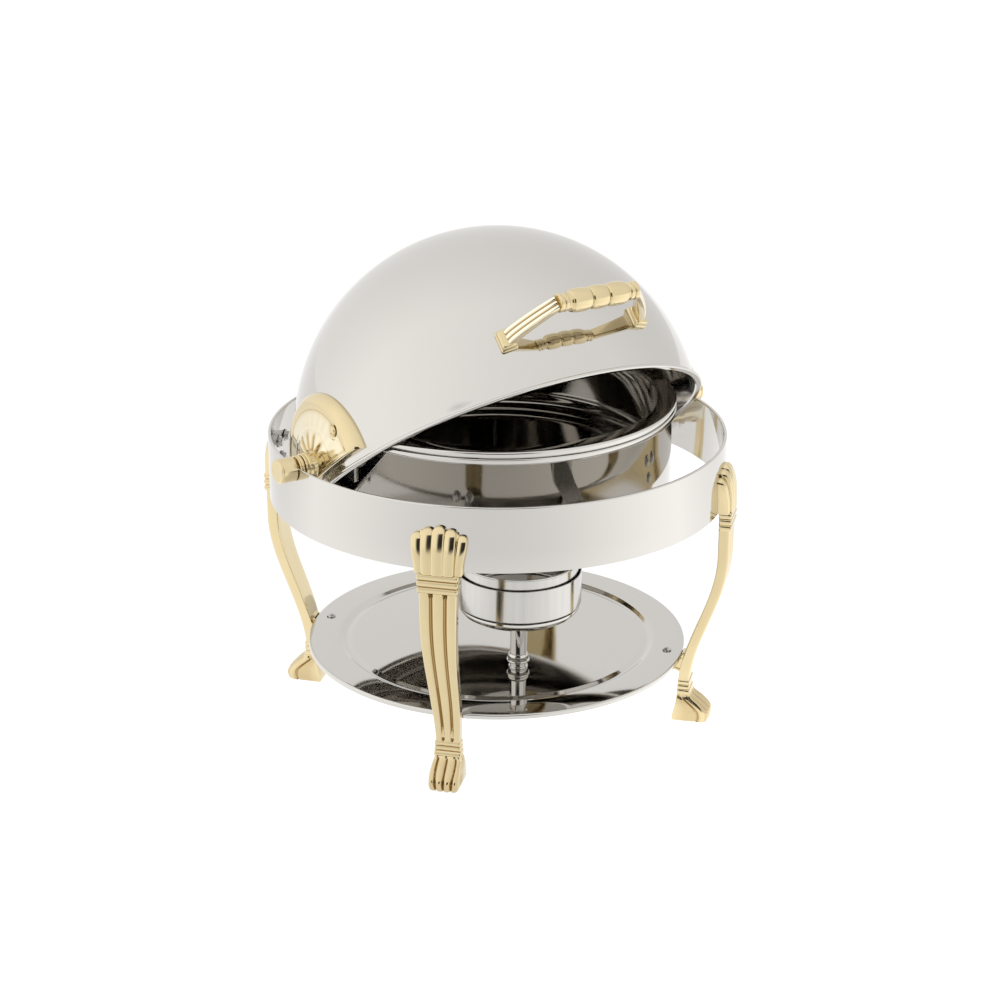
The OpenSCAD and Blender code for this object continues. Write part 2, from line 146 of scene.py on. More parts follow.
def rounded(corners, step=12):
    """A closed outline of (x, y, radius) corners, each one rounded by an arc."""
    points = []
    for i, (x, y, radius) in enumerate(corners):
        here = Vector((x, y))
        back = Vector(corners[i - 1][:2]) - here
        ahead = Vector(corners[(i + 1) % len(corners)][:2]) - here
        if radius <= 0 or back.length < 1e-6 or ahead.length < 1e-6:
            points.append((x, y))
            continue
        half = back.angle(ahead) / 2
        reach = min(radius / math.tan(half), 0.49 * back.length, 0.49 * ahead.length)
        radius = reach * math.tan(half)
        inward = (back.normalized() + ahead.normalized()).normalized()
        centre = here + inward * (radius / math.sin(half))
        start = here + back.normalized() * reach - centre
        end = here + ahead.normalized() * reach - centre
        sweep = math.atan2(start.x * end.y - start.y * end.x, start.dot(end))
        count = max(2, math.ceil(abs(math.degrees(sweep)) / step))
        for k in range(count + 1):
            a = sweep * k / count
            points.append((centre.x + start.x * math.cos(a) - start.y * math.sin(a),
                           centre.y + start.x * math.sin(a) + start.y * math.cos(a)))
    return points


def lay_along_x(verts):
    return [(z, x, y) for x, y, z in verts]


def spin(section, steps=128, along="z"):
    """Turns a closed half section of (radius, height) points round an axis."""
    verts, faces, rows = [], [], []
    for r, h in section:
        if r < 1e-4:
            rows.append([len(verts)] * steps)
            verts.append((0, 0, h))
        else:
            rows.append(list(range(len(verts), len(verts) + steps)))
            verts += [(r * math.cos(a), r * math.sin(a), h)
                      for a in np.linspace(0, 2 * math.pi, steps, endpoint=False)]
    for i in range(len(rows)):
        a, b = rows[i - 1], rows[i]
        for k in range(steps):
            n = (k + 1) % steps
            corners = (a[k], a[n], b[n], b[k])
            face = [v for j, v in enumerate(corners) if v not in corners[:j]]
            if len(face) > 2:
                faces.append(face)
    return (lay_along_x(verts) if along == "x" else verts), faces


def loft(loops):
    """A closed skin over a stack of closed loops with the same number of points."""
    loops = np.asarray(loops, float)
    count, size = loops.shape[:2]
    faces = []
    for i in range(count - 1):
        for k in range(size):
            n = (k + 1) % size
            faces.append([i * size + k, i * size + n, (i + 1) * size + n, (i + 1) * size + k])
    faces.append(list(range(size))[::-1])
    faces.append([(count - 1) * size + k for k in range(size)])
    return [tuple(p) for p in loops.reshape(-1, 3)], faces


def joined(*solids):
    """Several (verts, faces) as one."""
    verts, faces = [], []
    for v, f in solids:
        faces += [[i + len(verts) for i in face] for face in f]
        verts += list(v)
    return verts, faces


def placed(matrix, solid):
    """A solid moved by a matrix; a mirrored one has its faces turned round again."""
    verts, faces = solid
    mirrored = matrix.to_3x3().determinant() < 0
    verts = [tuple(matrix @ Vector(v)) for v in verts]
    return verts, [f[::-1] if mirrored else f for f in faces]


def raw_object(name, solid):
    """A clean mesh object, in metres, from a (verts, faces) solid in millimetres."""
    mesh = bpy.data.meshes.new(name)
    mesh.from_pydata([(x * MM, y * MM, z * MM) for x, y, z in solid[0]], [], solid[1])
    work = bmesh.new()
    work.from_mesh(mesh)
    bmesh.ops.remove_doubles(work, verts=work.verts, dist=1e-7)
    bmesh.ops.dissolve_degenerate(work, edges=work.edges, dist=1e-7)
    bmesh.ops.recalc_face_normals(work, faces=work.faces)
    work.to_mesh(mesh)
    work.free()
    piece = bpy.data.objects.new(name, mesh)
    bpy.context.scene.collection.objects.link(piece)
    return piece


def combine(piece, solids, operation):
    """Applies exact booleans of each solid to the piece."""
    for solid in solids:
        other = raw_object("cutter", solid)
        step = piece.modifiers.new("step", "BOOLEAN")
        step.operation, step.solver, step.object = operation, "EXACT", other
        graph = bpy.context.evaluated_depsgraph_get()
        mesh = bpy.data.meshes.new_from_object(piece.evaluated_get(graph))
        piece.modifiers.clear()
        piece.data = mesh
        bpy.data.objects.remove(other)


def finish_piece(piece, body, slot, nodes, crease=35):
    """Shades a piece, sharp where it creases, and gives it its material and its place."""
    piece.data.shade_smooth()
    piece.data.set_sharp_from_angle(angle=math.radians(crease))
    piece.data.materials.clear()
    piece.data.materials.append(materials[slot])
    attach(piece, body)
    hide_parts(*nodes)
    return piece


def build(name, solid, body, slot, nodes, crease=35):
    return finish_piece(raw_object(name, solid), body, slot, nodes, crease)


def hex_head(r, h, along="z"):
    """A hexagon head with a turned chamfer on its top; its corners lie at radius r."""
    points = 48
    flat = r * math.cos(math.pi / 6)
    angles = np.linspace(0, 2 * math.pi, points, endpoint=False)
    edge = [flat / math.cos((a + math.pi / 6) % (math.pi / 3) - math.pi / 6) for a in angles]
    chamfer = [(e, h - 0.15 - 0.5 * (e - flat * 0.97)) for e in edge]
    levels = [[(e, 0) for e in edge], chamfer]
    levels += [[ring] * points for ring in ((flat * 0.94, h - 0.1), (flat * 0.8, h), (flat * 0.4, h))]
    loops = [[(q * math.cos(a), q * math.sin(a), z) for a, (q, z) in zip(angles, level)]
             for level in levels]
    verts, faces = loft(loops)
    return (lay_along_x(verts) if along == "x" else verts), faces


# -------- materials
def shader(name, color, rough, metallic=0):
    material = bpy.data.materials.new(name)
    material.use_nodes = True
    surface = material.node_tree.nodes["Principled BSDF"]
    surface.inputs["Base Color"].default_value = (*color, 1)
    surface.inputs["Roughness"].default_value = rough
    surface.inputs["Metallic"].default_value = metallic
    return material, material.node_tree, surface


def noise(tree, scale, detail, stretch=(1, 1, 1)):
    place = tree.nodes.new("ShaderNodeTexCoord")
    spread = tree.nodes.new("ShaderNodeMapping")
    spread.inputs["Scale"].default_value = stretch
    texture = tree.nodes.new("ShaderNodeTexNoise")
    texture.inputs["Scale"].default_value = scale
    texture.inputs["Detail"].default_value = detail
    tree.links.new(place.outputs["Object"], spread.inputs["Vector"])
    tree.links.new(spread.outputs["Vector"], texture.inputs["Vector"])
    return texture.outputs["Fac"]


def remap(tree, value, before, after):
    """Stretches a value's (low, high) range before into the range after."""
    step = tree.nodes.new("ShaderNodeMapRange")
    for key, number in zip(("From Min", "From Max", "To Min", "To Max"), before + after):
        step.inputs[key].default_value = number
    tree.links.new(value, step.inputs["Value"])
    return step.outputs["Result"]


def mix(tree, amount, a, b):
    """Colour a where amount is 0 and b where it is 1; each is a tuple or a socket."""
    step = tree.nodes.new("ShaderNodeMix")
    step.data_type = "RGBA"
    tree.links.new(amount, step.inputs["Factor"])
    for socket, value in ((step.inputs[6], a), (step.inputs[7], b)):
        if isinstance(value, tuple):
            socket.default_value = (*value, 1)
        else:
            tree.links.new(value, socket)
    return step.outputs[2]


def bump(tree, surface, height, strength, distance):
    step = tree.nodes.new("ShaderNodeBump")
    step.inputs["Strength"].default_value = strength
    step.inputs["Distance"].default_value = distance
    tree.links.new(height, step.inputs["Height"])
    tree.links.new(step.outputs["Normal"], surface.inputs["Normal"])


def maths(tree, kind, operation, result, values):
    """A maths node; each value is a number, a vector or the socket to link."""
    step = tree.nodes.new(kind)
    step.operation = operation
    for socket, value in zip(step.inputs, values):
        if isinstance(value, bpy.types.NodeSocket):
            tree.links.new(value, socket)
        else:
            socket.default_value = value
    return step.outputs[result]


def number_maths(tree, operation, *values):
    return maths(tree, "ShaderNodeMath", operation, "Value", values)


def vector_maths(tree, operation, *values, result="Value"):
    return maths(tree, "ShaderNodeVectorMath", operation, result, values)


def times(tree, a, b):
    return number_maths(tree, "MULTIPLY", a, b)


def plus(tree, a, b):
    return number_maths(tree, "ADD", a, b)


def mirror_steel():
    """Mirror-polished stainless steel with faint polishing haze."""
    material, tree, surface = shader("mirror_steel", (0.60, 0.583, 0.555), 0.05, 1)
    haze = remap(tree, noise(tree, 9, 5), (0.35, 0.7), (0.035, 0.085))
    tone = mix(tree, noise(tree, 4, 2), (0.585, 0.568, 0.54), (0.615, 0.598, 0.57))
    tree.links.new(haze, surface.inputs["Roughness"])
    tree.links.new(tone, surface.inputs["Base Color"])
    bump(tree, surface, noise(tree, 14, 1), 0.12, 0.00012)
    return material


def plain_steel():
    """Satin stainless steel of the fasteners and hidden fittings, with fine drawn lines."""
    material, tree, surface = shader("satin_steel", (0.55, 0.54, 0.53), 0.25, 1)
    lines = noise(tree, 500, 4, (1, 1, 12))
    tone = mix(tree, noise(tree, 30, 3), (0.50, 0.49, 0.475), (0.60, 0.59, 0.58))
    tree.links.new(remap(tree, lines, (0.3, 0.7), (0.18, 0.34)), surface.inputs["Roughness"])
    tree.links.new(tone, surface.inputs["Base Color"])
    bump(tree, surface, lines, 0.15, 0.00005)
    return material


def drawn_steel():
    """Polished steel of the holder and cup, with the upright streaks that drawing leaves."""
    material, tree, surface = shader("drawn_steel", (0.56, 0.545, 0.52), 0.14, 1)
    streaks = noise(tree, 170, 3, (1, 1, 0.04))
    tone = mix(tree, streaks, (0.47, 0.46, 0.445), (0.60, 0.585, 0.56))
    tree.links.new(remap(tree, streaks, (0.3, 0.7), (0.10, 0.20)), surface.inputs["Roughness"])
    tree.links.new(tone, surface.inputs["Base Color"])
    bump(tree, surface, streaks, 0.3, 0.00006)
    return material


def cast_brass():
    """Polished, lacquered brass castings: painted shade darkens their recesses, and a painted highlight pales
    their raised faces.
    """
    material, tree, surface = shader("polished_brass", (0.70, 0.575, 0.33), 0.12, 1)
    # Reads each point's stored painted shade (positive) and painted highlight (negative).
    depth = tree.nodes.new("ShaderNodeAttribute")
    depth.attribute_name = "painted_shade_and_highlight"
    painted_shade_and_highlight = depth.outputs["Fac"]
    tone = mix(tree, noise(tree, 35, 3), (0.645, 0.53, 0.305), (0.705, 0.59, 0.36))
    # Painted highlight: negative stored values pale the colour towards cream.
    tone = mix(tree, remap(tree, painted_shade_and_highlight, (-1, 0), (1, 0)), tone, (0.93, 0.90, 0.76))
    # Painted shade: positive stored values darken the colour towards brown.
    tone = mix(tree, painted_shade_and_highlight, tone, (0.36, 0.235, 0.09))
    rough = remap(tree, noise(tree, 60, 4), (0.3, 0.7), (0.07, 0.15))
    tree.links.new(tone, surface.inputs["Base Color"])
    tree.links.new(rough, surface.inputs["Roughness"])
    surface.inputs["Coat Weight"].default_value = 0.3
    surface.inputs["Coat Roughness"].default_value = 0.05
    bump(tree, surface, noise(tree, 220, 2), 0.25, 0.00003)
    return material


def washer_nylon():
    """Natural nylon of the pivot washers, a little cloudy."""
    material, tree, surface = shader("natural_nylon", (0.86, 0.85, 0.80), 0.5)
    tone = mix(tree, noise(tree, 120, 4), (0.80, 0.79, 0.73), (0.90, 0.89, 0.85))
    tree.links.new(tone, surface.inputs["Base Color"])
    surface.inputs["Subsurface Weight"].default_value = 0.1
    bump(tree, surface, noise(tree, 900, 3), 0.2, 0.00005)
    return material


materials = {STEEL: mirror_steel(), SATIN: plain_steel(), BRASS: cast_brass(), NYLON: washer_nylon()}


def store_painted_light(piece, depth):
    """Stores the painted shade of each point, up to 1, or its painted highlight, down to -1."""
    store = piece.data.attributes.new("painted_shade_and_highlight", "FLOAT", "POINT")
    store.data.foreach_set("value", np.clip(np.asarray(depth, float), -1, 1))


# -------- ring
SLOT_R, SLOT_TOP, SLOT_REACH = 4.2, 20, 15


def pivot_slot(x):
    """The outline at x of the slot that a pivot stud drops into: a half circle, open upwards."""
    bend = [(x, SLOT_R * math.cos(a), SLOT_R * math.sin(a)) for a in np.linspace(math.pi, 2 * math.pi, 25)]
    return bend + [(x, SLOT_R, SLOT_TOP), (x, -SLOT_R, SLOT_TOP)]


def make_ring():
    """The frame ring, with a hem folded in at its top and a slot for each pivot stud."""
    hem, fold = 3.2, 3
    section = rounded([
        (RING_R, RING_LOW, 0.6), (RING_R, RING_TOP, 1.4), (RING_R - hem, RING_TOP, 1.4),
        (RING_R - hem, RING_TOP - fold, 0.7), (RING_R - RING_T, RING_TOP - fold, 0.5),
        (RING_R - RING_T, RING_LOW, 0.6)])
    piece = raw_object("ring", spin(section, 384))
    slot = loft([pivot_slot(RING_R - SLOT_REACH), pivot_slot(RING_R + SLOT_REACH)])
    combine(piece, [placed(at_pivot[side], slot) for side in (-1, 1)], "DIFFERENCE")
    finish_piece(piece, "stand", STEEL, ["ring_band"])


# -------- legs
# The shaft sweeps outwards by SWEEP between two levels, LEG_T thick from front to back.
SWEEP_LOW, SWEEP_HIGH, SWEEP = 33, 187, 36.9
LEG_T = 11.2
ANKLE_R = 203
LEG_TOP = high("leg_front_left").z
# Levels of the raised bands round the collar and the ankle, and of the painted shade on the metal beside them.
COLLAR_Z, COLLAR_SHADE_LOW = (216.7, 223.1, 229.5), 213.7
ANKLE_Z, ANKLE_SHADE_SPAN = (32.2, 37.2, 42.2), (29.8, 44.6)
# The fingers of the capital: place from the middle one, top and depth.
FINGERS = ((-2, 270, 11), (-1, LEG_TOP - 5.5, 13.3), (0, LEG_TOP - 3, 13.9),
           (1, LEG_TOP - 5.5, 13.3), (2, 270, 11))
FINGER_Z, SPREAD_Z, LEAN_Z = 232.4, 266, 240
# Places across the leg, as shares of its half width.
GROOVE_AT, REED_AT, REED_HALF = 0.38, 0.69, 0.31
# The second and third bound the painted shade: across the front, and in the toe clefts.
TOE_EDGE, SHADE_EDGE, CLEFT_EDGE = 0.97, 0.96, 0.9
# Levels between which the flutes fade in and out, of the pocket at their head, and of the toes.
FLUTE_FOOT, FLUTE_HEAD, POCKET_Z = (44.3, 46.2), (212.2, 213.7), 211.8
TOE_TOP, KNUCKLES = (25, 30.5), ((9, 0.8), (21, 0.7))
SKIN = 0.05


def shaft_r(z):
    """Distance of the shaft's front from the object's middle at level z."""
    share = np.clip((z - SWEEP_LOW) / (SWEEP_HIGH - SWEEP_LOW), 0, 1)
    return ANKLE_R + SWEEP * (1 - math.cos(math.pi * share)) / 2


def band(z, centres, half, rise):
    """How far the raised bands at these levels stand out at level z."""
    return max(rise * math.sqrt(max(0, 1 - ((z - c) / half) ** 2)) for c in centres)


def on_ring(y):
    """Distance out of the ring's outer face at sideways place y, in a leg's frame."""
    return math.sqrt((RING_R + SKIN) ** 2 - y * y)


# Outlines of the casting against its level: the paw's front, the half width and the paw's back.
LEG_FRONT = [(0, 222.4), (1.5, 224), (6, 224.8), (11, 224), (15, 221.3), (18.5, 217.4), (25.5, 209),
             (30, 204.8), (34, 203.1)]
LEG_HALF = [(0, 13.6), (2, 14.5), (6, 15.1), (16, 15), (24, 14.1), (30, 12.6), (44, 11.8), (62, 12.6),
            (87, 14.1), (127, 15.6), (172, 17.3), (210, 18.1), (233, 18.8)]
LEG_BACK = [(0, 187.8), (1.5, 187.1), (20, 190.5), (33, 191.8)]
LEG_SPANS = ((0, 29, 48), (29, 45, 49), (45, 50, 12), (50, 204, 60), (204, 233, 84))


def toe_share(s, z):
    """Where a point lies across its own toe, -1 to 1; the outer toes widen downwards."""
    split = 0.52 + 0.14 * float(smooth(2, 26, z))
    s = abs(s)
    return s / split * 2 - 1 if s < split else (s - split) / (1 - split) * 2 - 1


def leg_side(front, back, half, toes, z):
    """The casting's side from the front's edge to its back, hollowed behind the outer toes."""
    corner = 1.2
    inner = back + corner
    side = []
    for run, inset in ((3.2, 0), (3.9, 1.2), (4.7, 1.5), (5.6, 1.2), (6.4, 0.35)):
        side.append((max(front - run, inner + 0.3 * (10 - run)), half - inset * toes, z))
    side.append(((side[-1][0] + inner) / 2, half - 0.2 * toes, z))
    rear = [(back + corner * (1 - math.sin(a)), half - corner * (1 - math.cos(a)), z)
            for a in np.linspace(0, math.pi / 2, 5)]
    return side, rear


def leg_body():
    """The paw, ankle, fluted shaft and collar as one lofted casting, and the painted shade of its grooves, clefts
    and bands.
    """
    levels = sorted(set(np.round(np.concatenate([np.linspace(*span) for span in LEG_SPANS]), 3)))
    across = np.sin(np.linspace(-0.5, 0.5, 85) * math.pi) * 0.5 + np.linspace(-0.5, 0.5, 85)
    loops, painted_values = [], []
    for z in levels:
        swell = band(z, COLLAR_Z, 3.0, 1.7) + band(z, ANKLE_Z, 2.4, 1.2)
        half = curve(LEG_HALF, z) + swell * 0.8
        front = (curve(LEG_FRONT, z) if z < LEG_FRONT[-1][0] else shaft_r(z)) + swell
        back = curve(LEG_BACK, z) if z < LEG_BACK[-1][0] else shaft_r(z) - LEG_T
        flutes = float(smooth(*FLUTE_FOOT, z) * (1 - smooth(*FLUTE_HEAD, z)))
        pocket = flutes * math.exp(-((z - POCKET_Z) / 2.2) ** 2)
        # Painted shade on the plain metal beside the collar and ankle bands.
        band_shade = 0.8 * (COLLAR_SHADE_LOW < z < FINGER_Z) * max(0, 1 - swell / 1.5)
        band_shade += 0.8 * (ANKLE_SHADE_SPAN[0] < z < ANKLE_SHADE_SPAN[1]) * max(0, 1 - swell)
        toes = float(1 - smooth(*TOE_TOP, z))
        knuckle = sum(rise * math.exp(-((z - at) / 3.5) ** 2) for at, rise in KNUCKLES)
        # depth collects this level's painted shade values.
        loop, depth = [], []
        for s in across:
            groove = math.exp(-((abs(s) - GROOVE_AT) / 0.1) ** 2)
            reed = (abs(s) - REED_AT) / REED_HALF if abs(s) > GROOVE_AT else s / GROOVE_AT
            split = abs(toe_share(s, z)) ** 2.4 if abs(s) < TOE_EDGE else 1.0
            edge = max(0.0, (abs(s) * half - (half - 1.5)) / 1.5)
            x = front - (flutes * (2.1 * groove + 0.6 * reed ** 2) + 1.6 * pocket * groove)
            x -= toes * ((3.0 + knuckle) * split - knuckle + 1.6 * s * s)
            x -= 1.5 * (1 - math.sqrt(max(0.0, 1 - edge ** 2)))
            # Painted shade in the clefts between the toes, and a little over the whole paw.
            cleft_shade = toes * (0.22 + max(0, split - 0.25) * 1.35 * (abs(s) < CLEFT_EDGE))
            # Painted shade in the flute grooves, the pocket at their head, the toe clefts and beside the bands.
            dark = max(band_shade, flutes * groove * 0.95, 1.2 * pocket * groove, cleft_shade)
            loop.append((x, s * half, z))
            depth.append(dark if abs(s) < SHADE_EDGE else 0)
        side, rear = leg_side(loop[-1][0], back, half, toes, z)
        loop += side + rear + [(back, half * q, z) for q in (0.4, 0, -0.4)]
        loop += [(x, -y, z) for x, y, _ in rear[::-1]] + [(x, -y, z) for x, y, _ in side[::-1]]
        # Painted shade down the sides of the paw.
        side_shade = [q * toes for q in (0.35, 0.65, 0.95, 0.65, 0.38, 0.35)]
        depth += side_shade + [0] * (2 * len(rear) + 3) + side_shade[::-1]
        if z > SWEEP_HIGH:
            # The back of the collar bends to the ring's outer face.
            blend = float(smooth(222, 230, z))
            for k in range(len(across) + len(side), len(loop) - len(side)):
                x, y, _ = loop[k]
                loop[k] = (max(x, on_ring(y) * blend + x * (1 - blend)), y, z)
        loops.append(loop)
        painted_values += depth
    return loft(loops), painted_values


def finger_place(i, z):
    """Sideways place and half width of a finger of the capital."""
    rise = float(smooth(FINGER_Z, SPREAD_Z, z))
    place = (0, 10.2 + 0.7 * rise, 18.2 + 3.2 * rise)[abs(i)]
    half = (5.75 - 0.2 * rise, 5.2 + 0.3 * rise, 4.4 + 0.7 * rise)[abs(i)]
    return math.copysign(place, i), half


def finger_depth(z, top, depth):
    """How far a finger's front stands out; it leans back towards its top."""
    lean = max(0.0, (z - LEAN_Z) / (top + 1.5 - LEAN_Z))
    return depth * math.sqrt(max(0.02, 1 - lean ** 2.1))


def finger(i, top, depth):
    """One rounded reed of the capital, standing on the ring's outer face."""
    loops = []
    cap = 5.5
    heights = [FINGER_Z, *np.linspace(FINGER_Z + 0.5, top - cap, 28)]
    heights += [top - cap + cap * math.sin(a) for a in np.linspace(0.08, math.pi / 2 - 0.03, 20)]
    for z in heights:
        round_off = math.sqrt(max(0.0, 1 - max(0.0, (z - (top - cap)) / cap) ** 2))
        centre, half = finger_place(i, z)
        half = (half + 0.12) * round_off
        out = finger_depth(z, top, depth) * round_off ** 0.3 - (0.6 if z == FINGER_Z else 0)
        loop = []
        for s in np.sin(np.linspace(-0.5, 0.5, 25) * math.pi):
            y = centre + s * half
            crown = 2.3 * round_off * (1 - math.sqrt(max(0.0, 1 - 0.88 * s * s)))
            loop.append((on_ring(centre) + max(0.15, out - crown), y, z))
        for s in (1, 0.5, 0, -0.5, -1):
            y = centre + s * half
            loop.append((on_ring(y), y, z))
        loops.append(loop)
    return loft(loops)


def leg_backing():
    """The plate behind the fingers, which closes the valleys between them."""
    loops = []
    for z in np.linspace(FINGER_Z - 0.6, LEG_TOP - 9, 24):
        centre, half = finger_place(2, z)
        half = (centre + half * 0.4) * (1 - 0.22 * float(smooth(258, LEG_TOP - 8, z)))
        rise = finger_depth(z, LEG_TOP - 6, 13) - 3.4
        ys = np.linspace(-half, half, 25)
        loops.append([(on_ring(0) + max(0.6, rise - 3.2 * (y / half) ** 4), y, z) for y in ys]
                     + [(on_ring(y), y, z) for y in ys[::-1]])
    return loft(loops)


def leg_lug():
    """The gusset that runs in under the tray, with a sunk panel on each side."""
    under, edge = TRAY_TOP - 5.1, TRAY_R + 0.7
    outline = rounded([
        (172.6, under - 7.4, 2), (172.6, under, 0.8), (edge, under, 0.4), (edge, under + 5.6, 1.6),
        (202, under + 8.5, 0), (203.5, 49, 0), (197, 50.5, 3)], 20)
    middle = Vector((190, 60))
    half = ((6.2, 0.62), (7.6, 0.66), (7.8, 0.90), (7.4, 0.97), (6.6, 1))
    loops = []
    for y, shrink in [(-y, shrink) for y, shrink in half] + list(half[::-1]):
        loops.append([(middle.x + (x - middle.x) * shrink, y, middle.y + (z - middle.y) * shrink)
                      for x, z in outline])
    pad = rounded([(172.9, -7.4, 5), (188.6, -7.4, 0.5), (188.6, 7.4, 0.5), (172.9, 7.4, 5)])
    tall = loft([[(x, y, z) for x, y in pad] for z in (under - 1, TRAY_TOP - 1.3)])
    return [loft(loops), tall]


def painted_light_of_body(piece, solid, painted_values):
    """Carries the lofted body's painted shade and painted highlight values over to a mesh made from it."""
    tree = KDTree(len(solid[0]))
    for i, point in enumerate(solid[0]):
        tree.insert(Vector(point) * MM, i)
    tree.balance()
    found = []
    for vertex in piece.data.vertices:
        _, i, distance = tree.find(vertex.co)
        found.append(painted_values[i] if distance < 0.4 * MM else 0.0)
    store_painted_light(piece, found)


def make_legs():
    solid, painted_values = leg_body()
    master = raw_object("leg_master", solid)
    combine(master, [leg_backing()] + [finger(*row) for row in FINGERS] + leg_lug(), "UNION")
    painted_light_of_body(master, solid, painted_values)
    for node, angle in LEGS.items():
        mesh = master.data.copy()
        mesh.transform(rotate(angle, "Z"))
        piece = bpy.data.objects.new(f"{node}_casting", mesh)
        bpy.context.scene.collection.objects.link(piece)
        finish_piece(piece, "stand", BRASS, [node], 50)
    bpy.data.objects.remove(master)


BOLT_PLACES = ((-10, 265), (10, 265), (0, 245))


def make_leg_bolts():
    """Hexagon heads and washers inside the ring, three to a leg."""
    seat = RING_R - RING_T - 0.7
    head = hex_head(4.8, 3, "x")
    flat = spin(rounded([(2.6, 0, 0.1), (6.2, 0, 0.3), (6.2, 1, 0.3), (2.6, 1, 0.1)]), 40, "x")
    heads, washers = [], []
    for angle in LEGS.values():
        for y, z in BOLT_PLACES:
            inward = rotate(angle, "Z") @ shift(seat - 1, y, z) @ MIRROR
            heads.append(placed(inward, head))
            washers.append(placed(inward @ shift(-1, 0, 0), flat))
    build("leg_bolt_heads", joined(*heads), "stand", SATIN, ["leg_bolts"])
    build("leg_bolt_washers", joined(*washers), "stand", SATIN, ["leg_washers"])


# -------- tray and fuel holder
SCREW_R = 178.4


def make_tray():
    """The base tray, with a shallow gutter round its floor, and its four domed screws."""
    t = 1.2
    gutter = TRAY_FLOOR - 1.7
    section = rounded([
        (0, TRAY_FLOOR - t, 0), (RECESS_R - 8, TRAY_FLOOR - t, 6), (RECESS_R - 1.5, gutter - t, 5),
        (RECESS_R + 5, TRAY_TOP - t, 6), (TRAY_R - t, TRAY_TOP - t, 0.8), (TRAY_R - t, TRAY_TOP - 5, 0.4),
        (TRAY_R, TRAY_TOP - 5, 0.4), (TRAY_R, TRAY_TOP, 2), (RECESS_R + 5, TRAY_TOP, 6),
        (RECESS_R - 1.5, gutter, 5), (RECESS_R - 8, TRAY_FLOOR, 6), (0, TRAY_FLOOR, 0)], 12)
    build("tray", spin(section, 320), "stand", STEEL, ["base_tray"])
    head = spin([(0, -0.4), (4.4, -0.4), (4.6, 0.2), (4.45, 1.2)] + arc(0, -1.6, 4.4, 46, 84, 6)
                + [(0.45, 2.5), (0, 1.9)], 48)
    heads = [placed(rotate(angle, "Z") @ shift(SCREW_R, 0, TRAY_TOP), head) for angle in LEGS.values()]
    build("tray_screw_heads", joined(*heads), "stand", SATIN, ["tray_screws"])


def make_post():
    """The turned post on the tray, with a bead and a flange, and the collar round it."""
    post = rounded([
        (0, TRAY_FLOOR, 0), (9.6, TRAY_FLOOR, 0.4), (9.6, TRAY_FLOOR + 1.6, 0.8),
        (8.5, TRAY_FLOOR + 2.4, 0.5), (8.5, TRAY_FLOOR + 9.9, 0.4), (9.2, TRAY_FLOOR + 10.2, 0.3),
        (10.2, TRAY_FLOOR + 12.6, 1.6), (9.2, TRAY_FLOOR + 15.2, 0.6), (8.5, TRAY_FLOOR + 15.6, 0.3),
        (8.5, POST_TOP - 3, 0.6), (10.2, POST_TOP - 1.6, 0.5), (10.2, POST_TOP, 0.3), (0, POST_TOP, 0)])
    build("post", placed(at_burner, spin(post, 96)), "stand", STEEL, ["burner_post"])
    collar_low, collar_high = low("post_collar").z, high("post_collar").z
    collar = rounded([(8.55, collar_low, 0.2), (10.4, collar_low, 0.3), (11.5, collar_low + 1, 0.8),
                      (11.5, collar_high - 1, 0.8), (10.4, collar_high, 0.3), (8.55, collar_high, 0.2)])
    build("collar", placed(at_burner, spin(collar, 96)), "stand", STEEL, ["post_collar"])


def make_saucer():
    """The shallow saucer on the post."""
    top = high("burner_saucer").z
    saucer = rounded([
        (0, POST_TOP, 0), (50, POST_TOP, 6), (57.5, POST_TOP + 4.5, 5), (60.6, top - 3, 3), (60.6, top, 0.55),
        (59.4, top, 0.5), (59.4, top - 2.6, 2), (56.8, POST_TOP + 5.6, 4), (49.6, POST_TOP + 1.2, 5),
        (0, POST_TOP + 1.2, 0)])
    build("saucer", placed(at_burner, spin(saucer, 160)), "stand", STEEL, ["burner_saucer"])


def make_fuel_holder():
    """The outer holder with the hole for its screw, and the lipped cup that lifts out of it."""
    holder = rounded([
        (0, HOLDER_LOW, 0), (HOLDER_R, HOLDER_LOW, 1.6), (HOLDER_R, HOLDER_TOP, 0.55),
        (HOLDER_R - 1.2, HOLDER_TOP, 0.55), (HOLDER_R - 1.2, HOLDER_LOW + 3, 1.5), (6.3, HOLDER_LOW + 3, 0),
        (6.3, HOLDER_LOW + 1, 0), (0, HOLDER_LOW + 1, 0)])
    outer = build("holder", placed(at_burner, spin(holder, 192)), "stand", STEEL, ["fuel_holder"])
    cup_r, lip, t = 59.6, 60.8, 0.8
    cup = rounded([
        (0, CUP_LOW, 0), (cup_r, CUP_LOW, 3), (cup_r, CUP_TOP - 2.2, 0.5), (lip, CUP_TOP - 1.7, 0.6),
        (lip, CUP_TOP, 0.7), (cup_r - t, CUP_TOP, 0.7), (cup_r - t, CUP_LOW + t, 2.4), (0, CUP_LOW + t, 0)])
    inner = build("cup", placed(at_burner, spin(cup, 192)), "fuel_insert", STEEL, ["fuel_cup"])
    streaked = drawn_steel()
    for piece in (outer, inner):
        piece.data.materials[0] = streaked


